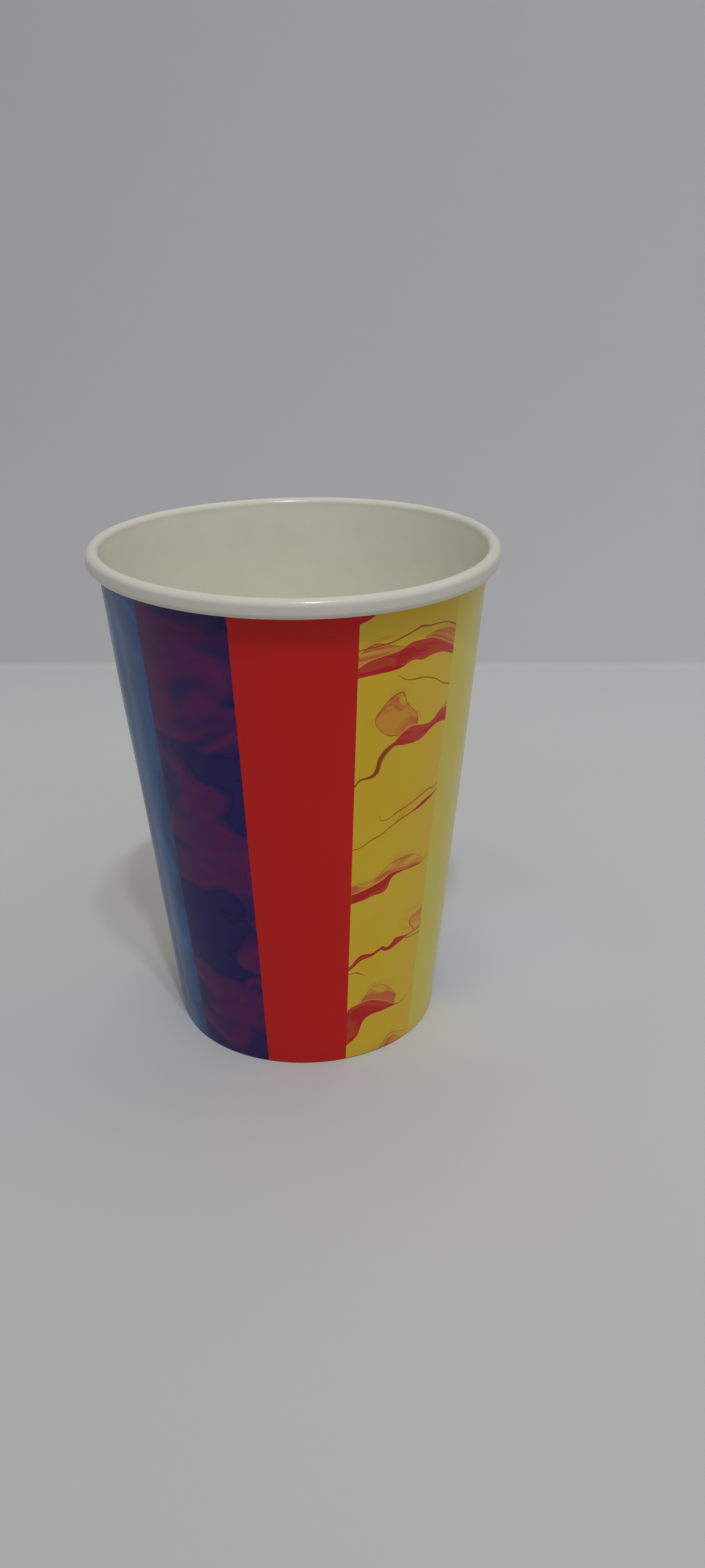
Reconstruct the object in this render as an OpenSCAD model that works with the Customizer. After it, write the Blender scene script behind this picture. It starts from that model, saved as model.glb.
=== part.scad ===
// Paper ice cream cup: a wrapped side wall with a rolled rim, closed by a recessed base disc.
// Millimetres. The origin is the centre of the circle that the cup stands on, with +Z up.
// The side wall is one blank of coated board: a fan shape that is wrapped to a cone and lapped
// along a side seam, rolled outwards at the rim, and folded in and up at the foot.

/* [Cup] */
// Diameter over the rolled rim
rim_d = 90; // [80:1:100]
// Diameter of the side wall at the foot
base_d = 60; // [52:1:66]
// Height from the table to the top of the rim
cup_h = 112; // [90:1:130]

/* [Board] */
// Thickness of the board, print included
board_t = 0.35; // [0.25:0.05:0.5]
// Thickness of the printed face of the board
print_t = 0.06; // [0.04:0.01:0.1]

/* [Rolled rim] */
// Width of the roll, side wall included
roll_w = 2.9; // [2.5:0.1:3.4]
// Height of the roll
roll_h = 4; // [3.6:0.1:5]
// Gap between the layers inside the roll
roll_gap = 0.05; // [0.03:0.01:0.12]
// Length of the straight stretch of the edge tucked in beside the wall
tuck_l = 0.6; // [0.2:0.1:1]
// How far the tucked edge curls on inside the roll, in degrees
tuck_turn = 120; // [40:5:140]

/* [Side seam] */
// Overlap of the two ends of the blank, in degrees round the cup
lap_deg = 9.6; // [6:0.2:14]
// Place of the outer cut edge, in degrees from the front, positive to the right
seam_at = -85.5; // [-180:0.5:180]
// Width over which the outer layer comes down past the edge of the inner one
jog_w = 1.2; // [0.8:0.1:2]
// Depth of the fine groove where the inner layer ends, on the inside of the cup
groove_d = 0.12; // [0.05:0.01:0.16]
// Width of that groove
groove_w = 0.4; // [0.2:0.1:0.8]
// How much thicker the roll is where it holds two layers
roll_swell = 0.12; // [0.05:0.01:0.2]

/* [Base] */
// Height of the underside of the base panel over the table
base_rise = 7.5; // [7:0.5:12]
// Height of the hem, the edge of the side wall folded in and up
hem_h = 5.6; // [3:0.2:6.4]
// Radius inside the fold at the foot
fold_r = 0.05; // [0.02:0.01:0.08]
// Radius inside the bend between the base panel and its skirt
bend_r = 0.5; // [0.3:0.1:1]
// Clearance between the skirt of the base and the layers that hold it
skirt_gap = 0.04; // [0.02:0.01:0.08]

/* [Printed bands] */
// Number of equal bands across the blank, lap included
band_n = 11; // [5:1:16]
// Colours that the bands take in turn, from the seam to the right
band_colours = ["#2F6DB5", "#3B1D6B", "#D9241B", "#E6C62E", "#DFE58A"];
// Colour of the bare board
board_colour = "#EFEDE4";

/* [Hidden] */
$fn = 120;

bond = 0.05;                        // depth to which two layers of one blank are joined
bend_steps = 6;                     // straight steps in each quarter turn of a bend
front = -90;                        // direction of the front of the cup, from +X
lap_end = 60;                       // direction of the board's face where the lap ends under the roll
half_t = board_t / 2;
rim_r = rim_d / 2;
base_r = base_d / 2;

// Slope of the wall, from the foot to the middle of the roll, along the middle of the board
wall_foot = [base_r - half_t, 0];
wall_top = [rim_r - roll_w + half_t, cup_h - roll_h / 2];
lean = atan2(wall_top[0] - wall_foot[0], wall_top[1] - wall_foot[1]);

// Radii of the roll's upper and lower bends and of the edge tucked inside it
reach = rim_r - half_t - wall_top[0];
drop = roll_h / 2 - half_t;
upper_r = (reach - drop * tan(lean)) / (1 + cos(lean) - (1 - sin(lean)) * tan(lean));
lower_r = (reach + drop * tan(lean) - (board_t + roll_gap) / cos(lean))
    / (1 + cos(lean) + (1 + sin(lean)) * tan(lean));
tuck_r = upper_r - board_t - roll_gap;

// Centres of those bends
upper_c = [rim_r - half_t - upper_r, cup_h - half_t - upper_r];
lower_c = [rim_r - half_t - lower_r, cup_h - roll_h + half_t + lower_r];
tuck_start = lower_c + lower_r * [-cos(lean), sin(lean)] + tuck_l * [sin(lean), cos(lean)];
tuck_c = tuck_start + tuck_r * [cos(lean), -sin(lean)];

// The fold at the foot: the wall comes down, turns in along the table and up again as the hem
foot_r = fold_r + half_t;
hem_pitch = (2 * board_t + 2 * skirt_gap) / cos(lean);
fold_z = half_t + foot_r;
wall_start = wall_at(fold_z - foot_r * sin(lean));
hem_foot = wall_at(fold_z + foot_r * sin(lean)) - [hem_pitch, 0];
foot_out_c = [wall_start[0] - foot_r * cos(lean), fold_z];
foot_in_c = [hem_foot[0] + foot_r * cos(lean), fold_z];
hem_top = wall_at(hem_h) - [hem_pitch, 0];

// The base disc: a flat panel with a skirt turned down beside the wall
bend_mid = bend_r + half_t;
skirt_pitch = (board_t + skirt_gap) / cos(lean);
panel_z = base_rise + half_t;
skirt_foot = wall_at(board_t + skirt_gap + fold_r) - [skirt_pitch, 0];
bend_end = wall_at(panel_z - bend_mid * (1 + sin(lean))) - [skirt_pitch, 0];
bend_c = [bend_end[0] - bend_mid * cos(lean), panel_z - bend_mid];

// Angles of the bands and of the seam
band_deg = (360 + lap_deg) / band_n;
seam_deg = front + seam_at;
jog_deg = jog_w / base_r * 180 / PI;
groove_deg = groove_w / base_r * 180 / PI;

// A point on the middle of the wall's board at height z
function wall_at(z) = [wall_foot[0] + (z - wall_foot[1]) * tan(lean), z];

// A path through a section is a list of [point, direction of the printed side]
function straight(a, b, side) = [[a, side], [b, side]];
function bend(c, r, from, to, flip = 0) = let (n = ceil(abs(to - from) / 90 * bend_steps))
    [for (i = [0:n]) let (a = from + (to - from) * i / n) [c + r * [cos(a), sin(a)], a + flip]];

// The faces of a board that follows a path, from one depth to another
function face(path, depth) = [for (p = path) p[0] + depth * [cos(p[1]), sin(p[1])]];
function reversed(list) = [for (i = [len(list) - 1:-1:0]) list[i]];

// The foot and wall, from the edge of the hem to the roll, with the printed side outwards
hem_run = straight(hem_top, hem_foot, 180 - lean);
foot_run = concat(bend(foot_in_c, foot_r, 180 - lean, 270), bend(foot_out_c, foot_r, 270, 360 - lean));
wall_run = concat(hem_run, foot_run, straight(wall_at(cup_h - roll_h), wall_at(cup_h - roll_h / 2), -lean));

// The roll, whose printed side is turned inwards
roll_run = concat(
    bend(upper_c, upper_r, 180 - lean, 0, 180),
    bend(lower_c, lower_r, 0, -180 - lean, 180));
tuck_run = bend(tuck_c, tuck_r, 180 - lean, 180 - lean - tuck_turn, 180);

module board_section(path, from, to) {
    polygon(concat(face(path, from), reversed(face(path, to))));
}

module round_the_cup(start, sweep) {
    rotate_extrude(start = start, angle = sweep) children();
}

// The bare board of the blank, from the hem to the edge tucked into the roll
module board() {
    rotate_extrude() board_section(concat(wall_run, roll_run, tuck_run), -half_t, half_t - print_t);
}

// One printed band, from the edge of the hem up to the roll
module band(i) {
    start = seam_deg + i * band_deg;
    sweep = i < band_n - 1 ? band_deg : band_deg - lap_deg;
    round_the_cup(start, sweep) board_section(wall_run, half_t - print_t - bond, half_t);
}

// The outer layer of the side seam: a cut edge on one side, and a slope down on the other
module lap() {
    slope = atan(board_t / jog_w);
    difference() {
        round_the_cup(seam_deg, lap_deg + jog_deg)
            board_section(straight(wall_at(foot_r + board_t), wall_at(cup_h - roll_h), -lean),
                half_t - bond, half_t + board_t);
        rotate([0, 0, seam_deg + lap_deg + jog_deg]) translate([base_r, 0, 0]) rotate([0, lean, 0])
            rotate([0, 0, slope]) translate([0, -base_r, -cup_h / 2]) cube([base_r, base_d, cup_h * 2]);
    }
}

// Where the roll holds both layers it is a little thicker
module roll_lap() {
    round_the_cup(seam_deg, lap_deg)
        board_section([for (p = roll_run) if (p[1] > lap_end) p], -half_t - roll_swell, -half_t + bond);
}

// The cut edge of the inner layer shows inside the cup as a fine groove
module seam_groove() {
    round_the_cup(seam_deg + lap_deg, groove_deg)
        board_section(straight(wall_at(base_rise + board_t), wall_at(cup_h - roll_h), -lean),
            -half_t - bond, -half_t + groove_d);
}

module side_wall() {
    color(board_colour) difference() {
        board();
        seam_groove();
    }
    for (i = [0:band_n - 1])
        color(band_colours[i % len(band_colours)]) band(i);
    color(band_colours[0]) lap();
    color(board_colour) roll_lap();
}

module base_disc() {
    run = concat([[[0, panel_z], 90]], bend(bend_c, bend_mid, 90, -lean), straight(bend_end, skirt_foot, -lean));
    color(board_colour) rotate_extrude() board_section(run, -half_t, half_t);
}

side_wall();
base_disc();
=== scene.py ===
# Paper ice cream cup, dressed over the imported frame: the printed side wall and the recessed base.
# Shapes are worked out in millimetres and go to metres when they are put into a mesh.

import math

import bpy
import numpy as np
from mathutils import Matrix


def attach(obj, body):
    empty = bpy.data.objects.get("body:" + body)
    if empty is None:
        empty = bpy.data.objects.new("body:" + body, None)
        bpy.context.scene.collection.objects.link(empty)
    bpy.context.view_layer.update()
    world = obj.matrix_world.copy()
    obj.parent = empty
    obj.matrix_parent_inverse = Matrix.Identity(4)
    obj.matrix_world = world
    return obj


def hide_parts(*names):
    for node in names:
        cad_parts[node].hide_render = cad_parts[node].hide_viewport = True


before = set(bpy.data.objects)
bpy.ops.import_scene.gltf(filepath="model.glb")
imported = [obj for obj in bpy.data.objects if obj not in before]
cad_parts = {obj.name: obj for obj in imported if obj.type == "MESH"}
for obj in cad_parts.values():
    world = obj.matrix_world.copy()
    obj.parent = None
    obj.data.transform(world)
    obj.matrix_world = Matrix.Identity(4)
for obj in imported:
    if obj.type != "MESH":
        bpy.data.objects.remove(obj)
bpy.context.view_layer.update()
scene = bpy.context.scene
print("frame loaded:", sorted(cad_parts))

cameraPlan = {
    "place": (0.0, -283.5, 179.3),  # millimetres, in front of the cup and above it
    "lens": 30.98,  # millimetres
    "sensor": 36.0,  # millimetres on the long side
    "pitch": 23.64,  # degrees down
    "yaw": 2.31,  # degrees to the right
    "roll": -0.76,  # degrees
}


def makeCamera(plan):
    # turns the level view by yaw, then pitch, then roll
    pitch, yaw, roll = (math.radians(plan[k]) for k in ("pitch", "yaw", "roll"))
    level = np.array([math.sin(yaw), math.cos(yaw), 0.0])
    right = np.array([math.cos(yaw), -math.sin(yaw), 0.0])
    up = np.array([0.0, 0.0, 1.0])
    ahead = level * math.cos(pitch) - up * math.sin(pitch)
    above = up * math.cos(pitch) + level * math.sin(pitch)
    camRight = right * math.cos(roll) + above * math.sin(roll)
    camUp = above * math.cos(roll) - right * math.sin(roll)
    turn = np.eye(4)
    turn[:3, 0], turn[:3, 1], turn[:3, 2] = camRight, camUp, -ahead
    turn[:3, 3] = np.array(plan["place"]) / 1000
    data = bpy.data.cameras.new("camera")
    data.lens, data.sensor_width = plan["lens"], plan["sensor"]
    data.clip_start, data.clip_end = 0.01, 20.0
    camera = bpy.data.objects.new("camera", data)
    scene.collection.objects.link(camera)
    camera.matrix_world = Matrix(turn.tolist())
    scene.camera = camera


makeCamera(cameraPlan)
print("camera placed")


def ink(hexText):
    # an sRGB hex colour as the linear values that the sockets take
    c = np.array([int(hexText[i:i + 2], 16) for i in (1, 3, 5)]) / 255
    linear = np.where(c <= 0.04045, c / 12.92, ((c + 0.055) / 1.055) ** 2.4)
    return (*linear.tolist(), 1.0)


def addNode(tree, kind, inputs=(), take=None, **settings):
    # adds one node with its settings. The inputs are values or other nodes' outputs, as a list in
    # the order of the node's live sockets or as a dictionary by name. The output named take comes
    # back, or else the first live one.
    node = tree.nodes.new("ShaderNode" + kind)
    for name, value in settings.items():
        setattr(node, name, value)
    live = [s for s in node.inputs if s.enabled]
    pairs = inputs.items() if isinstance(inputs, dict) else enumerate(inputs)
    for key, value in pairs:
        socket = live[key] if isinstance(key, int) else node.inputs[key]
        if isinstance(value, bpy.types.NodeSocket):
            tree.links.new(value, socket)
        else:
            socket.default_value = value
    if take:
        return node.outputs[take]
    outputs = [s for s in node.outputs if s.enabled]
    return outputs[0] if outputs else None


def newMaterial(name):
    # an empty material and its node tree
    material = bpy.data.materials.new(name)
    material.use_nodes = True
    tree = material.node_tree
    tree.nodes.clear()
    return material, tree


creaseAngle = 42  # degrees; edges that turn more than this stay sharp


def rowsToMesh(name, points, faces, faceKind, faceUv, materials):
    # puts points (n, 3) in millimetres and quads (m, 4) into a mesh, with a material number and
    # the four uv corners of each face
    mesh = bpy.data.meshes.new(name)
    mesh.vertices.add(len(points))
    mesh.vertices.foreach_set("co", (points / 1000).astype(np.float32).ravel())
    mesh.loops.add(faces.size)
    mesh.loops.foreach_set("vertex_index", faces.astype(np.int32).ravel())
    mesh.polygons.add(len(faces))
    mesh.polygons.foreach_set("loop_start", np.arange(0, faces.size, 4, dtype=np.int32))
    for material in materials:
        mesh.materials.append(material)
    mesh.polygons.foreach_set("material_index", faceKind.astype(np.int32))
    layer = mesh.uv_layers.new(name="blank")
    layer.uv.foreach_set("vector", faceUv.astype(np.float32).ravel())
    mesh.update(calc_edges=True)
    mesh.validate()
    mesh.shade_smooth()
    mesh.set_sharp_from_angle(angle=math.radians(creaseAngle))
    piece = bpy.data.objects.new(name, mesh)
    scene.collection.objects.link(piece)
    return piece


# The same sizes as the solids have, in millimetres and degrees
cup = {
    "rimRadius": 45.0,
    "footRadius": 30.0,
    "height": 112.0,
    "board": 0.35,
    "rollWidth": 2.9,
    "rollHeight": 4.0,
    "rollGap": 0.05,
    "tuckLength": 0.6,
    "tuckTurn": 120.0,
    "baseRise": 7.5,
    "hemHeight": 5.6,
    "foldRadius": 0.05,
    "bendRadius": 0.5,
    "skirtGap": 0.04,
}

# The side seam, in millimetres and degrees. The slope is wider and the swell less than in the
# solids (6 mm against 1.2, and 0.07 against 0.12), because sealing irons them out.
seam = {
    "at": -85.5,  # outer cut edge, from the front, positive to the right
    "lap": 9.6,  # degrees that the two ends overlap
    "jog": 6.0,  # width of the slope where the outer layer comes down
    "lapFoot": (0.25, 0.4),  # height where the outer layer starts, and height in which it grows
    "lapTop": 0.6,  # height in which it ends below the roll
    "grooveDepth": 0.12,  # of the line inside the cup where the inner layer ends
    "grooveWidth": 0.4,
    "grooveEnds": (1.0, 3.0),  # starts this far above the base, and ends this far below the rim
    "rollSwell": 0.07,  # how much thicker the roll is over the lap
    "swellTurns": (20.0, 50.0, 250.0, 40.0),  # degrees round the roll: start, rise, end, fall
    "swellEdge": (-0.2, 2.0),  # degrees from the cut edge: start and rise
    "cutWidth": 0.02,  # breadth of the step at a cut edge
}

half = cup["board"] / 2
wallFoot = np.array([cup["footRadius"] - half, 0.0])
wallTop = np.array([cup["rimRadius"] - cup["rollWidth"] + half, cup["height"] - cup["rollHeight"] / 2])
slope = (wallTop[0] - wallFoot[0]) / wallTop[1]
lean = math.atan(slope)
leanDeg = math.degrees(lean)
sinLean, cosLean = math.sin(lean), math.cos(lean)
perMm = 180 / math.pi / 37.0  # degrees in a millimetre round the wall, halfway up


def wallAt(z):
    # the middle of the wall's board at height z
    return np.array([wallFoot[0] + z * slope, z])


def bend(centre, radius, start, end, count, flip=0.0):
    # an arc as rows of [r, z, direction of the printed side in degrees]
    a = np.linspace(start, end, count)
    at = centre + radius * np.stack([np.cos(np.radians(a)), np.sin(np.radians(a))], 1)
    return np.column_stack([at, a + flip])


def straight(a, b, side, count):
    # a straight run from a to b as rows of [r, z, direction of the printed side]
    at = a + (b - a) * np.linspace(0, 1, count)[:, None]
    return np.column_stack([at, np.full(count, side)])


# the parts of the wall's section, and the rows of points on each
hem, foldIn, foldOut, wall, rollOver, rollUnder, tucked = range(7)
wallRows = (9, 7, 7, 25, 21, 21, 9)


def wallPath():
    # the middle of the blank's board in section: down the hem, round the fold at the foot, up the
    # wall, round the roll and on into the tucked edge; second value: part number of each row
    c = cup
    topRadius = c["rimRadius"] - half
    reach, drop = topRadius - wallTop[0], c["rollHeight"] / 2 - half
    upper = (reach - drop * slope) / (1 + cosLean - (1 - sinLean) * slope)
    lower = (reach + drop * slope - (c["board"] + c["rollGap"]) / cosLean) / (
        1 + cosLean + (1 + sinLean) * slope)
    tuck = upper - c["board"] - c["rollGap"]
    upperC = np.array([topRadius - upper, c["height"] - half - upper])
    lowerC = np.array([topRadius - lower, c["height"] - c["rollHeight"] + half + lower])
    along = np.array([sinLean, cosLean])
    tuckStart = lowerC + lower * np.array([-cosLean, sinLean]) + c["tuckLength"] * along
    tuckC = tuckStart + tuck * np.array([cosLean, -sinLean])
    fold = c["foldRadius"] + half
    foldZ = half + fold
    hemPitch = np.array([(2 * c["board"] + 2 * c["skirtGap"]) / cosLean, 0.0])
    wallStart = wallAt(foldZ - fold * sinLean)
    hemFoot = wallAt(foldZ + fold * sinLean) - hemPitch
    outC = np.array([wallStart[0] - fold * cosLean, foldZ])
    inC = np.array([hemFoot[0] + fold * cosLean, foldZ])
    hemTop = wallAt(c["hemHeight"]) - hemPitch
    n = wallRows
    parts = [
        straight(hemTop, hemFoot, 180 - leanDeg, n[hem])[:-1],
        bend(inC, fold, 180 - leanDeg, 270, n[foldIn]),
        bend(outC, fold, 270, 360 - leanDeg, n[foldOut]),
        straight(wallStart, wallAt(c["height"] - c["rollHeight"] / 2), -leanDeg, n[wall])[1:-1],
        bend(upperC, upper, 180 - leanDeg, 0, n[rollOver], 180),
        bend(lowerC, lower, 0, -180 - leanDeg, n[rollUnder], 180),
        bend(tuckC, tuck, 180 - leanDeg, 180 - leanDeg - c["tuckTurn"], n[tucked], 180),
    ]
    number = np.concatenate([np.full(len(p), i) for i, p in enumerate(parts)])
    return np.concatenate(parts), number


def stepUp(x, start, width):
    # 0 before start, 1 after start + width, smooth between
    t = np.clip((x - start) / width, 0, 1)
    return t * t * (3 - 2 * t)


# How the board of this cup gives: its rim isn't quite round, and its wall waves a little
boardGive = {
    # how far the rim is from round, as parts of the radius: [times round, cosine, sine] from +X
    "outOfRound": ((2, -0.0218, -0.0108), (3, -0.0097, 0.0115)),
    "fullAt": 110.0,  # height at which that is reached, from nothing at the foot
    # slow waves of the wall: [millimetres, times round, waves in the height, phase]
    "waves": ((0.07, 5, 0.8, 0.4), (0.05, 9, 1.7, 2.1), (0.035, 14, -2.3, 4.0), (0.03, 3, 2.6, 5.2)),
    "wavesStart": (11.0, 18.0),  # height where they start, and height in which they grow
    "wavesEnd": (93.5, 14.0),  # height where they start to die out, and height in which they do
}


def settle(radius, angle, z):
    # gives the true place of a point of the round cup: its radius takes the rim's out-of-round,
    # in step with the height, and the waves of the wall
    give, turn = boardGive, np.radians(angle - 90)
    grow = sum(c * np.cos(k * turn) + s * np.sin(k * turn) for k, c, s in give["outOfRound"])
    radius = radius * (1 + grow * z / give["fullAt"])
    fade = stepUp(z, *give["wavesStart"]) * (1 - stepUp(z, *give["wavesEnd"]))
    wave = sum(depth * np.sin(k * turn + 2 * np.pi * n * z / cup["height"] + phase)
               for depth, k, n, phase in give["waves"])
    radius = radius + wave * fade
    return np.stack([radius * np.cos(turn), radius * np.sin(turn), z + 0 * radius], -1)


# The fine upright ridges that the sealing tool presses into the hem, in millimetres
knurl = {
    "ridges": 108,  # once round
    "columns": 4,  # of points for each ridge
    "depth": 0.07,
    "fromTop": 0.7,  # plain edge of the hem above them
    "length": 3.6,
    "ease": 0.4,  # how far they take to come in and to end
}


def wallColumns():
    # degrees from the front, once round from the outer cut edge, closer together at the seam;
    # an even column that lies almost on one of the seam's own is left out
    columns = knurl["ridges"] * knurl["columns"]
    even = seam["at"] + np.arange(columns) * 360 / columns
    end = seam["at"] + seam["lap"]
    cut, groove, jog = (seam[k] * perMm for k in ("cutWidth", "grooveWidth", "jog"))
    extra = [seam["at"] + 360 - cut, end - cut, end, end + groove * 0.5, end + groove,
             end + jog, end + jog * 0.25, end + jog * 0.75]
    close = np.min(np.abs(even[:, None] - np.array(extra)[None]), 1) < 0.1
    close[0] = False
    return np.sort(np.concatenate([even[~close], extra]))


def makeSideWall(materials):
    # the section's printed side, then its bare side back, each row carried once round the cup:
    # a point is the board's middle, moved out or in by the depth of that side there
    path, part = wallPath()
    angle = wallColumns()
    fromSeam = angle - seam["at"]
    z = path[:, 1]
    side = np.stack([np.cos(np.radians(path[:, 2])), np.sin(np.radians(path[:, 2]))], 1)
    # the outer layer of the seam stands proud of the wall by one board
    inLap = 1 - stepUp(fromSeam, seam["lap"], seam["jog"] * perMm)
    rollFoot = cup["height"] - cup["rollHeight"]
    onWall = (part == foldOut) * stepUp(z, *seam["lapFoot"]) + (
        part == wall) * stepUp(-z, -rollFoot, seam["lapTop"])
    lapRise = cup["board"] * onWall[:, None] * inLap[None]
    # fine upright ridges pressed into the face of the hem
    hemDown = cup["hemHeight"] - z
    onHem = (part == hem) * stepUp(hemDown, knurl["fromTop"], knurl["ease"]) * (
        1 - stepUp(hemDown, knurl["fromTop"] + knurl["length"], knurl["ease"]))
    ridge = 0.5 - 0.5 * np.cos(np.radians(fromSeam) * knurl["ridges"])
    printedDepth = half + lapRise - knurl["depth"] * onHem[:, None] * ridge[None]
    # the bare side: thicker roll over the lap, and the groove where the inner layer ends
    rollTurn = 360 - path[:, 2]
    start, rise, end, fall = seam["swellTurns"]
    onRoll = (part == rollOver) * stepUp(rollTurn, start, rise) + (part == rollUnder) * (
        1 - stepUp(rollTurn, end, fall))
    overLap = stepUp(fromSeam, *seam["swellEdge"]) * (fromSeam <= seam["lap"] - seam["cutWidth"] * perMm / 2)
    swell = seam["rollSwell"] * onRoll[:, None] * overLap[None]
    intoGroove = (fromSeam - seam["lap"]) / (seam["grooveWidth"] * perMm)  # 0 to 1 across it
    inGroove = (intoGroove > -0.01) & (intoGroove < 0.9)
    aboveBase, belowRim = seam["grooveEnds"]
    onInside = (part == wall) * stepUp(z, cup["baseRise"] + aboveBase, 1) * stepUp(
        -z, belowRim - cup["height"], 1)
    groove = seam["grooveDepth"] * onInside[:, None] * inGroove[None]
    bareDepth = half + swell - groove
    rows = np.concatenate([
        path[:, None, :2] + side[:, None] * printedDepth[..., None],
        (path[:, None, :2] - side[:, None] * bareDepth[..., None])[::-1]])
    points = settle(rows[..., 0], angle[None], rows[..., 1])
    n, m = len(rows), len(angle)
    i, j = np.meshgrid(np.arange(n), np.arange(m), indexing="ij")
    iNext, jNext = (i + 1) % n, (j + 1) % m
    faces = np.stack([i * m + j, i * m + jNext, iNext * m + jNext, iNext * m + j], -1)
    # what each face shows: 0 print, 1 bare board, 2 the core at a cut edge
    k = len(path)
    shows = np.ones(n, int)
    shows[:k][part <= wall] = 0
    shows[[k - 1, n - 1]] = 2
    kind = np.repeat(shows[:, None], m, 1)
    # the last column's faces are the step at the outer cut edge, where that layer stands proud
    kind[:k, -1] = np.where(onWall > 0.05, 2, kind[:k, -1])
    # uv on the flat blank: across in bands from the seam, and up in millimetres from the foot
    arc = np.concatenate([[0], np.cumsum(np.hypot(*np.diff(path[:, :2], axis=0).T))])
    arc -= arc[part == foldIn][-1]
    across = np.append(fromSeam, 360.0) / (360 + seam["lap"]) * bands["count"]
    up = np.append(np.concatenate([arc, arc[::-1]]), arc[0])
    u0, u1, v0, v1 = across[j], across[j + 1], up[i], up[i + 1]
    corners = ((u0, v0), (u1, v0), (u1, v1), (u0, v1))
    uv = np.stack([np.stack(corner, -1) for corner in corners], 2)
    return rowsToMesh("printed_side_wall", points.reshape(-1, 3), faces.reshape(-1, 4),
                      kind.ravel(), uv.reshape(-1, 2), materials)


# The base disc, in millimetres
disc = {
    "middle": 1.2,  # radius of the round middle
    "rows": (16, 13, 9),  # of points on the panel, the bend and the skirt
    "pleats": 60,  # gathers where the disc is drawn down to its skirt
    "columns": 4,  # of points for each pleat
    "pleatDepth": 0.05,
    "pleatReach": 5.0,  # how far they run in from the bend
    "pleatEnd": 30.0,  # degrees over level at which they end on the bend
}


def basePath():
    # the middle of the disc's board in section: out along the panel, round the bend and down the
    # skirt
    c = cup
    bendMid = c["bendRadius"] + half
    pitch = np.array([(c["board"] + c["skirtGap"]) / cosLean, 0.0])
    panelZ = c["baseRise"] + half
    foot = wallAt(c["board"] + c["skirtGap"] + c["foldRadius"]) - pitch
    end = wallAt(panelZ - bendMid * (1 + sinLean)) - pitch
    centre = np.array([end[0] - bendMid * cosLean, panelZ - bendMid])
    onPanel, onBend, onSkirt = disc["rows"]
    return np.concatenate([
        straight(np.array([disc["middle"], panelZ]), np.array([centre[0], panelZ]), 90, onPanel)[:-1],
        bend(centre, bendMid, 90, -leanDeg, onBend),
        straight(end, foot, -leanDeg, onSkirt)[1:]])


def makeBaseDisc(materials):
    # the top face from the middle out and down the skirt, then the underside back, once round;
    # quads that share a centre point close the round middle of each face
    path = basePath()
    columns = disc["pleats"] * disc["columns"]
    angle = np.arange(columns) * 360 / columns
    side = np.stack([np.cos(np.radians(path[:, 2])), np.sin(np.radians(path[:, 2]))], 1)
    # the pleats dip the top face, and deepen and fade slowly round the disc
    edge = path[disc["rows"][0] - 1, 0]
    reach = disc["pleatReach"]
    onBend = stepUp(path[:, 0], edge - reach, reach) * (path[:, 2] > disc["pleatEnd"])
    deepen = 0.6 + 0.4 * np.sin(np.radians(angle) * 7 + 1)
    ridge = np.sin(np.radians(angle) * disc["pleats"]) * deepen
    dip = -disc["pleatDepth"] * onBend[:, None] * (0.5 + 0.5 * ridge[None])
    top = path[:, None, :2] + side[:, None] * (half + dip)[..., None]
    under = path[:, None, :2] - side[:, None] * (half - dip)[..., None]
    rows = np.concatenate([top, under[::-1]])
    points = settle(rows[..., 0], angle[None], rows[..., 1]).reshape(-1, 3)
    n, m = len(rows), len(angle)
    i, j = np.meshgrid(np.arange(n - 1), np.arange(m), indexing="ij")
    jNext = (j + 1) % m
    faces = np.stack([i * m + j, (i + 1) * m + j, (i + 1) * m + jNext, i * m + jNext], -1)
    # what each face shows: 0 coated board, 1 uncoated board, 2 the core at the skirt's edge
    kind = np.where(i < len(path) - 1, 0, 1)
    kind[len(path) - 1] = 2
    centreTop, centreUnder = len(points), len(points) + 1
    pair = np.arange(0, m, 2)
    after = (pair + 2) % m
    lastRow = (n - 1) * m
    caps = m // 2
    capTop = np.stack([np.full(caps, centreTop), pair, pair + 1, after], -1)
    capUnder = np.stack([np.full(caps, centreUnder), lastRow + after, lastRow + pair + 1, lastRow + pair], -1)
    allFaces = np.concatenate([faces.reshape(-1, 4), capTop, capUnder])
    allKinds = np.concatenate([kind.ravel(), np.zeros(caps, int), np.ones(caps, int)])
    rise = cup["baseRise"]
    allPoints = np.concatenate([points, [[0, 0, rise + cup["board"]], [0, 0, rise]]])
    uv = allPoints[allFaces][..., :2]
    return rowsToMesh("base_paper_disc", allPoints, allFaces, allKinds, uv.reshape(-1, 2), materials)


# The printed bands
bands = {
    "count": 11,
    "varnish": (0.18, 0.26),  # roughness
    "ior": 1.33,  # less than the 1.5 of varnish, because the cup's sheen is that soft
    "layer": 53.0,  # millimetres between the slices of the pattern that two bands show
    "width": 21.2,  # millimetres across one band, halfway up
    "blue": "#115392", "bluePale": "#2D73B0", "blueDeep": "#0F3A74",
    "indigo": "#22185F", "plum": "#5F185A", "plumDeep": "#150E42",
    "red": "#D61812",
    "yellow": "#EAC22D", "yellowPale": "#ECCB4A", "vein": "#A5480A", "flare": "#C6201A",
    "flarePale": "#D0462E", "wash": "#E59A3A", "salmon": "#D9603A", "bank": "#F2C44E",
    "lime": "#E5D146", "limePale": "#DDD655",
}

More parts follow.
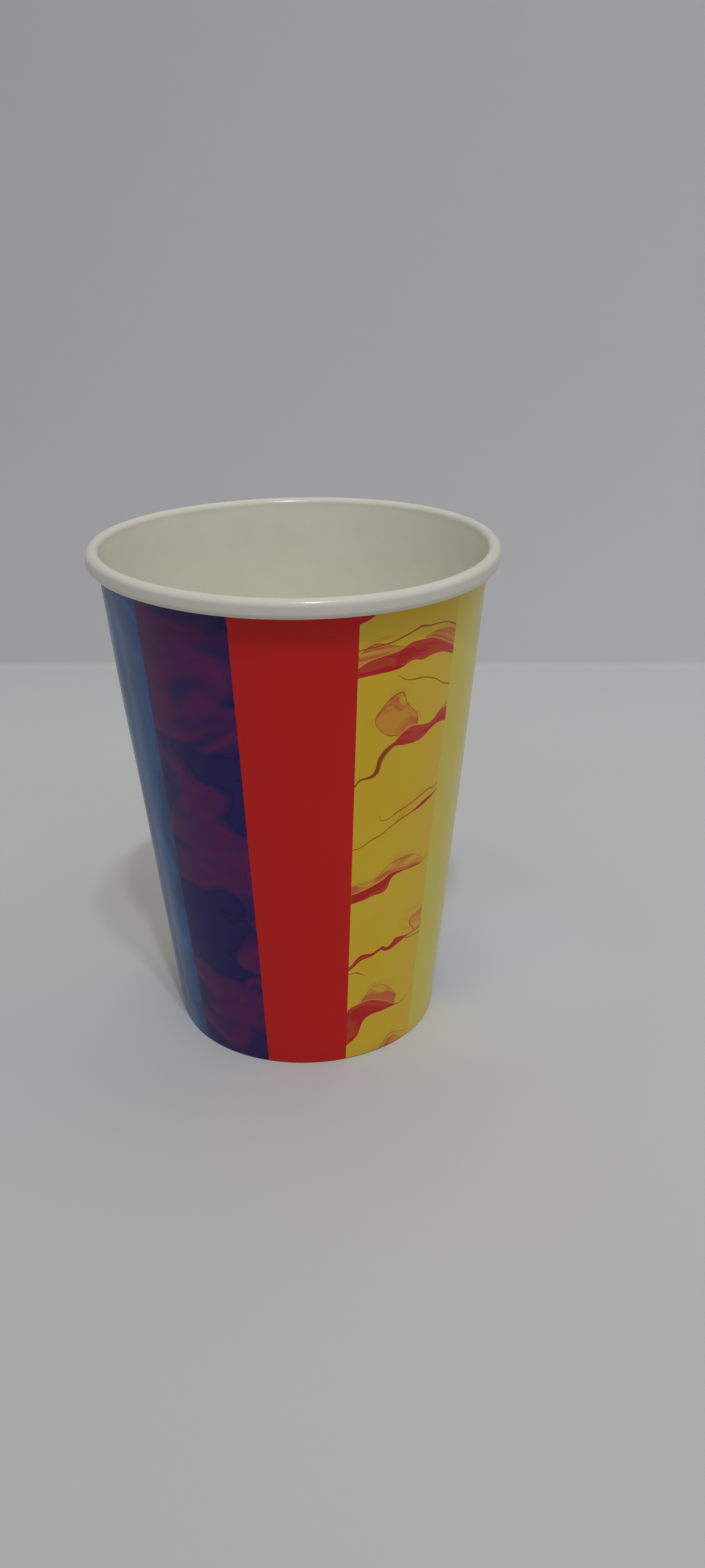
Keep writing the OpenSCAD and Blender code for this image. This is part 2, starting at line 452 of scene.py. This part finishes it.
# The marbling of the bands. Sizes are millimetres, and scales are patches to the millimetre.
marble = {
    "slowSwirl": (0.04, 26.0),  # one swirl in 25 mm, and how far it drags the bath
    "fastSwirl": (0.13, 7.0),  # one in 8 mm
    "stream": 17.0,  # from one stream of the yellow marbling up to the next
    "rise": 0.25,  # how much the streams rise for each millimetre to the right
    "change": 0.06,  # the streams and shelves change over 17 mm
    "river": 2.4,  # half a stream's breadth where it is full
    "hair": 0.2,  # and where it is thin
    "shelf": 5.5,  # height of the shelf above a stream
    "haze": (4.5, 0.2),  # reach of the faint streaks above the shelf
    "streaks": 0.5,  # 2 mm across the flow, and three times that along it
    "cells": 0.3,  # 3 mm
    "veins": 0.09,  # 11 mm from one to the next
    "clouds": 0.075,  # purple clouds, 13 mm across and twice that along
    "cloudStreaks": 0.3,
    "cloudFall": 28.0,  # degrees that they stream down to the right
    "blueStreaks": 0.13,  # 8 mm across and twice that upwards
    "limeClouds": 0.1,
}


def stirred(tree, spot, swirls):
    # coordinates in millimetres, dragged about by up to half of the reach by a slow swirl
    scale, reach = swirls
    swirl = addNode(tree, "TexNoise", {"Vector": spot, "Scale": scale, "Detail": 1.0, "Roughness": 0.4},
                    take="Color")
    pull = addNode(tree, "VectorMath", [swirl, (-0.5, -0.5, -0.5)], operation="ADD")
    return addNode(tree, "VectorMath", [pull, (reach, reach, 0.0), spot], operation="MULTIPLY_ADD")


def yellowMarble(tree, spot, bath):
    # streams on every stream millimetres of the stirred height, rising a little to the right: each
    # swells to a red river and thins out to a brown hair; above it lies a salmon shelf of changing
    # height under a brown line, with streaks and rounded cells of the plain yellow
    stream, smooth = marble["stream"], {"interpolation_type": "SMOOTHSTEP"}
    parts = addNode(tree, "SeparateXYZ", [bath])
    risen = addNode(tree, "Math", [parts, -marble["rise"], parts.node.outputs["Y"]], operation="MULTIPLY_ADD")
    level = addNode(tree, "Math", [risen, 1 / stream], operation="MULTIPLY")
    turns = addNode(tree, "Math", [level], operation="FRACT")
    above = addNode(tree, "Math", [turns, stream, -stream / 2], operation="MULTIPLY_ADD")  # millimetres
    near = addNode(tree, "Math", [above], operation="ABSOLUTE")
    rich = addNode(tree, "TexNoise", {"Vector": spot, "Scale": marble["change"], "Detail": 1.0,
                                      "Roughness": 0.3}, take="Color")
    rich = addNode(tree, "SeparateColor", [rich])
    breadth = addNode(tree, "MapRange", [rich, 0.47, 0.68, 0.0, marble["river"]], **smooth)
    fade = addNode(tree, "MapRange", [rich, 0.34, 0.44, 0.0, marble["hair"]], **smooth)
    breadth = addNode(tree, "Math", [breadth, fade], operation="ADD")
    past = addNode(tree, "Math", [near, breadth], operation="SUBTRACT")
    river = addNode(tree, "MapRange", [past, 0.06, -0.06, 0.0, 1.0])
    # a paler bank beside the full rivers
    bank = addNode(tree, "MapRange", [past, 0.4, 0.1, 0.0, 0.6])
    swollen = addNode(tree, "MapRange", [rich, 0.46, 0.54, 0.0, 1.0], **smooth)
    bank = addNode(tree, "Math", [bank, swollen], operation="MULTIPLY")
    # the shelf above the river, and the line along its top
    tall = rich.node.outputs["Green"]
    high = addNode(tree, "MapRange", [tall, 0.47, 0.63, 0.0, marble["shelf"]], **smooth)
    top = addNode(tree, "Math", [breadth, high], operation="ADD")
    over = addNode(tree, "Math", [above, top], operation="SUBTRACT")
    under = addNode(tree, "MapRange", [over, 0.1, -0.1, 0.0, 0.85])
    side = addNode(tree, "MapRange", [above, -0.1, 0.1, 0.0, 1.0])
    shelf = addNode(tree, "Math", [under, side], operation="MULTIPLY")
    toLine = addNode(tree, "Math", [over], operation="ABSOLUTE")
    shelfLine = addNode(tree, "MapRange", [toLine, 0.2, 0.06, 0.0, 0.8])
    seen = addNode(tree, "MapRange", [high, 0.2, 1.0, 0.0, 1.0])
    shelfLine = addNode(tree, "Math", [shelfLine, seen], operation="MULTIPLY")
    # streaks along the flow, and rounded cells
    flow = addNode(tree, "Mapping", {"Vector": bath, "Rotation": (0, 0, -math.atan(marble["rise"])),
                                     "Scale": (0.3, 1.0, 1.0)})
    streak = addNode(tree, "TexNoise", {"Vector": flow, "Scale": marble["streaks"], "Detail": 2.0,
                                        "Distortion": 0.5})
    tone = addNode(tree, "MapRange", [streak, 0.44, 0.6, 0.0, 1.0], **smooth)
    roundFlow = addNode(tree, "Mapping", {"Vector": bath, "Scale": (0.7, 1.0, 1.0)})
    cells = addNode(tree, "TexVoronoi", {"Vector": roundFlow, "Scale": marble["cells"], "Smoothness": 0.35},
                    feature="SMOOTH_F1")
    cell = addNode(tree, "MapRange", [cells, 0.39, 0.36, 0.0, 0.9])
    onShelf = addNode(tree, "Math", [cell, shelf], operation="MULTIPLY")
    # faint orange streaks that drift up from the shelf
    haze = addNode(tree, "MapRange", [over, *marble["haze"], 0.0, 0.55], **smooth)
    for part in (side, seen, tone):
        haze = addNode(tree, "Math", [haze, part], operation="MULTIPLY")
    # hair-thin veins that follow other level lines of the bath
    other = addNode(tree, "TexNoise", {"Vector": flow, "Scale": marble["veins"], "Detail": 1.0,
                                       "Roughness": 0.4}, take="Color")
    pick = addNode(tree, "SeparateColor", [other])
    off = addNode(tree, "Math", [pick, 0.5], operation="SUBTRACT")
    far = addNode(tree, "Math", [off], operation="ABSOLUTE")
    thin = addNode(tree, "MapRange", [pick.node.outputs["Blue"], 0.47, 0.6, -0.002, 0.011], **smooth)
    beyond = addNode(tree, "Math", [far, thin], operation="SUBTRACT")
    line = addNode(tree, "MapRange", [beyond, 0.0015, -0.0015, 0.0, 0.85])
    soft = addNode(tree, "TexNoise", {"Vector": bath, "Scale": marble["change"], "Detail": 2.0})
    pale = addNode(tree, "MapRange", [soft, 0.4, 0.75, 0.0, 0.3], **smooth)
    inks = ("yellow", "yellowPale", "vein", "flare", "flarePale", "wash", "salmon", "bank")
    ground, groundPale, vein, flare, flarePale, wash, salmon, bankPaint = (ink(bands[k]) for k in inks)
    colour = addNode(tree, "Mix", [pale, ground, groundPale], data_type="RGBA")
    redTone = addNode(tree, "Mix", [tone, flare, flarePale], data_type="RGBA")
    riverTone = addNode(tree, "Mix", [swollen, vein, redTone], data_type="RGBA")
    shelfTone = addNode(tree, "Mix", [tone, wash, salmon], data_type="RGBA")
    layers = ((haze, wash), (shelf, shelfTone), (onShelf, ground), (shelfLine, vein),
              (bank, bankPaint), (line, vein), (river, riverTone))
    for mask, paint in layers:
        colour = addNode(tree, "Mix", [mask, colour, paint], data_type="RGBA")
    return colour


def purpleMarble(tree, bath):
    # plum clouds over indigo that stream down to the right: soft on one side, with a darker line
    # on the other, and finer streaks inside them
    smooth = {"interpolation_type": "SMOOTHSTEP"}
    drift = addNode(tree, "Mapping", {"Vector": bath, "Rotation": (0, 0, math.radians(marble["cloudFall"])),
                                      "Scale": (0.5, 1.0, 1.0)})
    cloud = addNode(tree, "TexNoise", {"Vector": drift, "Scale": marble["clouds"], "Detail": 2.0,
                                       "Roughness": 0.45})
    streak = addNode(tree, "TexNoise", {"Vector": drift, "Scale": marble["cloudStreaks"], "Detail": 2.0,
                                        "Distortion": 0.6})
    inside = addNode(tree, "MapRange", [cloud, 0.43, 0.53, 0.0, 1.0], **smooth)
    tone = addNode(tree, "MapRange", [streak, 0.35, 0.7, 0.62, 1.0], **smooth)
    amount = addNode(tree, "Math", [inside, tone], operation="MULTIPLY")
    colour = addNode(tree, "Mix", [amount, ink(bands["indigo"]), ink(bands["plum"])], data_type="RGBA")
    above = addNode(tree, "Math", [cloud, 0.425], operation="SUBTRACT")
    near = addNode(tree, "Math", [above], operation="ABSOLUTE")
    edge = addNode(tree, "MapRange", [near, 0.018, 0.0, 0.0, 0.7], **smooth)
    return addNode(tree, "Mix", [edge, colour, ink(bands["plumDeep"])], data_type="RGBA")


def blueMarble(tree, bath):
    # paler streaks and deeper clouds along the height
    smooth = {"interpolation_type": "SMOOTHSTEP"}
    long = addNode(tree, "Mapping", {"Vector": bath, "Scale": (1.0, 0.45, 1.0)})
    streak = addNode(tree, "TexNoise", {"Vector": long, "Scale": marble["blueStreaks"], "Detail": 3.0,
                                        "Roughness": 0.55})
    lit = addNode(tree, "MapRange", [streak, 0.35, 0.55, 0.0, 1.0], **smooth)
    pale = addNode(tree, "MapRange", [streak, 0.52, 0.75, 0.0, 0.7], **smooth)
    colour = addNode(tree, "Mix", [lit, ink(bands["blueDeep"]), ink(bands["blue"])], data_type="RGBA")
    return addNode(tree, "Mix", [pale, colour, ink(bands["bluePale"])], data_type="RGBA")


def bandColours(tree, across, spot):
    # one colour for every band, in turn from the seam
    bath = stirred(tree, stirred(tree, spot, marble["slowSwirl"]), marble["fastSwirl"])
    soft = addNode(tree, "TexNoise", {"Vector": bath, "Scale": marble["limeClouds"], "Detail": 2.0})
    pale = addNode(tree, "MapRange", [soft, 0.38, 0.7, 0.0, 1.0], interpolation_type="SMOOTHSTEP")
    lime = addNode(tree, "Mix", [pale, ink(bands["lime"]), ink(bands["limePale"])], data_type="RGBA")
    number = addNode(tree, "Math", [across], operation="FLOOR")
    turn = addNode(tree, "Math", [number, 5.0], operation="FLOORED_MODULO")
    colour = blueMarble(tree, bath)
    paints = (purpleMarble(tree, bath), ink(bands["red"]), yellowMarble(tree, spot, bath), lime)
    for order, paint in enumerate(paints, 1):
        here = addNode(tree, "Math", [turn, float(order), 0.5], operation="COMPARE")
        colour = addNode(tree, "Mix", [here, colour, paint], data_type="RGBA")
    return colour


# The relief of the board. Its fibres are about 0.03 mm thick, too fine to show, so they are drawn
# as coarse as they need to show, 1.1 mm wide, and the clouds in the pulp 6 mm.
grain = {
    "fibres": 900.0,  # to the metre
    "clouds": 160.0,
    "depth": 0.0002,  # metres
    "printed": 0.12,  # how much of the relief shows through ink and varnish
    "bare": 0.15,
}


def makePrint():
    # offset ink under a satin varnish on coated cup board: even colour, a soft grey sheen at
    # grazing angles and the faint unevenness of the fibres below
    material, tree = newMaterial("varnished_print_on_cup_board")
    blank = addNode(tree, "UVMap", uv_map="blank")
    split = addNode(tree, "SeparateXYZ", [blank])
    across, height = split, split.node.outputs["Y"]
    bandNo = addNode(tree, "Math", [across], operation="FLOOR")
    layer = addNode(tree, "Math", [bandNo, bands["layer"]], operation="MULTIPLY")
    wide = addNode(tree, "Math", [across, bands["width"]], operation="MULTIPLY")
    spot = addNode(tree, "CombineXYZ", [wide, height, layer])
    colour = bandColours(tree, across, spot)
    place = addNode(tree, "TexCoord", take="Object")
    fibre = addNode(tree, "TexNoise", {"Vector": place, "Scale": grain["fibres"], "Detail": 3.0})
    relief = addNode(tree, "Bump", {
        "Strength": grain["printed"], "Distance": grain["depth"], "Height": fibre})
    gloss = addNode(tree, "MapRange", [fibre, 0.0, 1.0, *bands["varnish"]])
    shader = addNode(tree, "BsdfPrincipled", {
        "Base Color": colour, "Roughness": gloss, "IOR": bands["ior"], "Normal": relief})
    addNode(tree, "OutputMaterial", {"Surface": shader})
    return material


# The bare board's colour, the deeper colour of its clouds, its roughness, and a painted shade: a
# duller tone on the outer face of the roll round the rim
boards = {
    # bleached board under a thin plastic coat: off-white, with a soft gloss
    "coated_white_cup_board": ("#EAE7DA", "#E6E3D5", 0.20, "#D4D3C7"),
    # the same board without a coat: greyer and matt
    "uncoated_underside_board": ("#C9C5B8", "#C1BDAE", 0.75, None),
    # fibres laid open by the cut: matt and a little yellow
    "cut_edge_of_board": ("#C8C1AD", "#B9B19B", 0.9, None),
}
# millimetres up the blank where the painted shade on the roll starts, is full and is half gone
rollShadeSpan = (110.2, 113.8, 115.2)


def makeBoard(name, colour, deep, rough, rollShade):
    # one of the bare boards: faint cloudy fibres in two close colours, a little gloss or none
    material, tree = newMaterial(name)
    place = addNode(tree, "TexCoord", take="Object")
    cloud = addNode(tree, "TexNoise", {"Vector": place, "Scale": grain["clouds"], "Detail": 4.0})
    tint = addNode(tree, "MapRange", [cloud, 0.35, 0.7])
    paint = addNode(tree, "Mix", [tint, ink(colour), ink(deep)], data_type="RGBA")
    # painted shade: a duller tone over the roll round the rim
    if rollShade:
        start, full, gone = rollShadeSpan
        blank = addNode(tree, "SeparateXYZ", [addNode(tree, "UVMap", uv_map="blank")], take="Y")
        over = addNode(tree, "MapRange", [blank, start, full, 0.0, 1.0], interpolation_type="SMOOTHSTEP")
        below = addNode(tree, "MapRange", [blank, full, gone, 1.0, 0.5], interpolation_type="SMOOTHSTEP")
        paintedRollShade = addNode(tree, "Math", [over, below], operation="MULTIPLY")
        paint = addNode(tree, "Mix", [paintedRollShade, paint, ink(rollShade)], data_type="RGBA")
    fibre = addNode(tree, "TexNoise", {"Vector": place, "Scale": grain["fibres"], "Detail": 3.0})
    relief = addNode(tree, "Bump", {
        "Strength": grain["bare"], "Distance": grain["depth"], "Height": fibre})
    gloss = addNode(tree, "MapRange", [fibre, 0.0, 1.0, rough - 0.05, rough + 0.05])
    shader = addNode(tree, "BsdfPrincipled", {
        "Base Color": paint, "Roughness": gloss, "IOR": 1.5, "Normal": relief})
    addNode(tree, "OutputMaterial", {"Surface": shader})
    return material


printedBoard = makePrint()
bareBoard, mattBoard, cutBoard = (makeBoard(name, *look) for name, look in boards.items())
print("materials made")

sideWall = makeSideWall([printedBoard, bareBoard, cutBoard])
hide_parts("side_wall")
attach(sideWall, "root")
baseDisc = makeBaseDisc([bareBoard, mattBoard, cutBoard])
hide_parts("base_disc")
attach(baseDisc, "root")
print("cup made")

# The paper that the cup stands on and before, in millimetres
stagePlan = {
    "floor": "#C0C1C3",
    "wall": "#DEDDE1",
    "wallLine": ((-126.0, 257.5), (167.4, 233.4)),  # where the wall meets the floor
    "reach": 2500.0,
    "wallHeight": 290.0,
    "cove": 3.0,  # radius of the bend between floor and wall
    "opening": 28.0,  # radius of the opening under the cup, inside the ring it stands on
    # painted light on the paper, as changes of its tone: from, to, tone there, tone here
    "away": (-150.0, 0.0, 0.945, 1.0),  # over Y, on the floor
    "far": (130.0, 240.0, 0.0, 0.085),  # over Y, added in front of the wall
    "aside": (-130.0, 170.0, -0.035, 0.03),  # over X, added on the floor
    "upWall": (0.0, 250.0, 0.995, 0.895),  # over the height, on the wall
    "alongWall": (-130.0, 170.0, -0.055, 0.055),  # over X, added on the wall
    # painted light: the paper is made paler close round the cup, over the cup's shade on the floor
    "paintedLightNearCup": (28.0, 62.0, 0.12, 0.0),  # over the distance from paintedLightCentre, added close to the cup
    "paintedLightCentre": (4.0, 14.0, 0.0),
    "paintedLightShape": (0.7, 1.0, 1.0),
}


def makeSheet(name, points, faces, material):
    # a sheet of paper from points in millimetres and faces, which belongs to the stage
    mesh = bpy.data.meshes.new(name)
    mesh.from_pydata((np.array(points) / 1000).tolist(), [], faces)
    mesh.materials.append(material)
    mesh.shade_smooth()
    sheet = bpy.data.objects.new(name, mesh)
    scene.collection.objects.link(sheet)


def makePaperGround(plan):
    # matt paper with painted light: its tone is raised away from the camera, to the right and close round
    # the cup, and lowered up the wall, as the light on it falls; it is see-through from behind and below,
    # and open under the cup's recess, so that it hides nothing in other views
    material, tree = newMaterial("pale_matt_paper")
    place = addNode(tree, "TexCoord", take="Object")
    parts = addNode(tree, "SeparateXYZ", [place])
    y, z = parts.node.outputs["Y"], parts.node.outputs["Z"]
    tone = {}
    # painted light: tones that follow how the light falls over the floor and the wall
    for name, along in (("away", y), ("far", y), ("aside", parts), ("upWall", z), ("alongWall", parts)):
        start, end, before, after = plan[name]
        tone[name] = addNode(tree, "MapRange", [along, start / 1000, end / 1000, before, after])
    # painted light close round the cup, over its shade on the floor
    middle = tuple(v / 1000 for v in plan["paintedLightCentre"])
    offset = addNode(tree, "VectorMath", [place, middle], operation="SUBTRACT")
    offset = addNode(tree, "VectorMath", [offset, plan["paintedLightShape"]], operation="MULTIPLY")
    toCup = addNode(tree, "VectorMath", [offset], operation="LENGTH")
    start, end, before, after = plan["paintedLightNearCup"]
    paintedLightNearCup = addNode(tree, "MapRange", [toCup, start / 1000, end / 1000, before, after],
                   interpolation_type="SMOOTHSTEP")
    onFloor = tone["away"]
    for more in (tone["far"], tone["aside"], paintedLightNearCup):
        onFloor = addNode(tree, "Math", [onFloor, more], operation="ADD")
    onWall = addNode(tree, "Math", [tone["upWall"], tone["alongWall"]], operation="ADD")
    floorPaint = addNode(tree, "VectorMath", [ink(plan["floor"])[:3], onFloor], operation="SCALE")
    wallPaint = addNode(tree, "VectorMath", [ink(plan["wall"])[:3], onWall], operation="SCALE")
    up = addNode(tree, "MapRange", [z, 0.0, plan["cove"] / 1000, 0.0, 1.0])
    paint = addNode(tree, "Mix", [up, floorPaint, wallPaint], data_type="RGBA")
    cloud = addNode(tree, "TexNoise", {"Vector": place, "Scale": 6.0, "Detail": 3.0})  # 17 cm wide
    shade = addNode(tree, "MapRange", [cloud, 0.0, 1.0, 0.985, 1.015])
    paint = addNode(tree, "VectorMath", [paint, shade], operation="SCALE")
    diffuse = addNode(tree, "BsdfDiffuse", {"Color": paint})
    behind = addNode(tree, "NewGeometry", take="Backfacing")
    fromAxis = addNode(tree, "VectorMath", [place], operation="LENGTH")
    underCup = addNode(tree, "Math", [fromAxis, plan["opening"] / 1000], operation="LESS_THAN")
    hidden = addNode(tree, "Math", [behind, underCup], operation="MAXIMUM")
    clear = addNode(tree, "BsdfTransparent")
    addNode(tree, "OutputMaterial", {"Surface": addNode(tree, "MixShader", [hidden, diffuse, clear])})
    return material


def makeGround(plan, material):
    # a flat floor, and a wall that grows out of it in a cove: its profile, as distance in front of
    # the wall and height, is carried along the wall's line
    reach, cove = plan["reach"], plan["cove"]
    makeSheet("floor", [(-reach, -reach, 0), (reach, -reach, 0), (reach, reach, 0), (-reach, reach, 0)],
              [(0, 1, 2, 3)], material)
    start, end = (np.array(p) for p in plan["wallLine"])
    along = (end - start) / np.linalg.norm(end - start)
    towards = np.array([along[1], -along[0]])
    a = np.radians(np.linspace(270, 180, 13))
    out = np.append(cove + cove * np.cos(a), 0.0)
    height = np.append(cove + cove * np.sin(a), plan["wallHeight"])
    left = np.column_stack([start - along * reach + towards * out[:, None], height])
    right = np.column_stack([end + along * reach + towards * out[:, None], height])
    n = len(out)
    faces = [(i, n + i, n + i + 1, i + 1) for i in range(n - 1)]
    makeSheet("wall", np.concatenate([left, right]), faces, material)


makeGround(stagePlan, makePaperGround(stagePlan))

# Two small lamps high in front, for the two edges of the shadow: place and breadth in millimetres
lampPlan = [
    {"name": "lamp_outer", "place": (131, -682, 1500), "size": 60, "watts": 2.7, "tint": "#F7FDFF"},
    {"name": "lamp_inner", "place": (49, -834, 1500), "size": 60, "watts": 4.2, "tint": "#F7FDFF"},
]
for lamp in lampPlan:
    data = bpy.data.lights.new(lamp["name"], "AREA")
    data.shape, data.size, data.energy = "DISK", lamp["size"] / 1000, lamp["watts"]
    data.color = ink(lamp["tint"])[:3]
    holder = bpy.data.objects.new(lamp["name"], data)
    scene.collection.objects.link(holder)
    at = np.array(lamp["place"]) / 1000
    back = at / np.linalg.norm(at)
    sideways = np.cross([0, 1, 0], back)
    sideways /= np.linalg.norm(sideways)
    turn = np.eye(4)
    turn[:3, 0], turn[:3, 1], turn[:3, 2], turn[:3, 3] = sideways, np.cross(back, sideways), back, at
    holder.matrix_world = Matrix(turn.tolist())

# The room's soft light: low everywhere, and high round an axis that leans a little to the right
# and to the front
roomLight = {
    "low": 0.06, "high": 1.79, "power": 5.0, "axis": (0.08, -0.16, 1.0), "tint": "#FFFCF8",
    "below": 0.4,  # from under the floor, so that it only reaches the recess under the base
    "belowFrom": (-0.1, -0.3),  # upward part of the direction where that starts and is full
    "seen": "#A3A3A6",  # what shows past the stage, and in gloss
}


def makeWorld():
    # soft light that is stronger from above; what is seen, also in gloss, is a plain pale grey
    world = bpy.data.worlds.new("room_light")
    world.use_nodes = True
    tree = world.node_tree
    tree.nodes.clear()
    axis = np.array(roomLight["axis"]) / np.linalg.norm(roomLight["axis"])
    direction = addNode(tree, "TexCoord", take="Generated")  # the way a ray comes from
    along = addNode(tree, "VectorMath", [direction, axis.tolist()], operation="DOT_PRODUCT")
    upper = addNode(tree, "Math", [along, 0.0], operation="MAXIMUM")
    shaped = addNode(tree, "Math", [upper, roomLight["power"]], operation="POWER")
    amount = addNode(tree, "Math", [shaped, roomLight["high"], roomLight["low"]], operation="MULTIPLY_ADD")
    height = addNode(tree, "SeparateXYZ", [direction], take="Z")
    under = addNode(tree, "MapRange", [height, *roomLight["belowFrom"], 0.0, roomLight["below"]])
    amount = addNode(tree, "Math", [amount, under], operation="ADD")
    light = addNode(tree, "Background", [ink(roomLight["tint"]), amount])
    plain = addNode(tree, "Background", [ink(roomLight["seen"]), 1.0])
    ray = addNode(tree, "LightPath", take="Is Camera Ray")
    either = addNode(tree, "Math", [ray, ray.node.outputs["Is Glossy Ray"]], operation="MAXIMUM")
    either = addNode(tree, "Math", [either, ray.node.outputs["Is Transmission Ray"]], operation="MAXIMUM")
    shown = addNode(tree, "MixShader", [either, light, plain])
    addNode(tree, "OutputWorld", {"Surface": shown})
    scene.world = world


makeWorld()
scene.view_settings.view_transform = "Standard"
print("stage and light made")
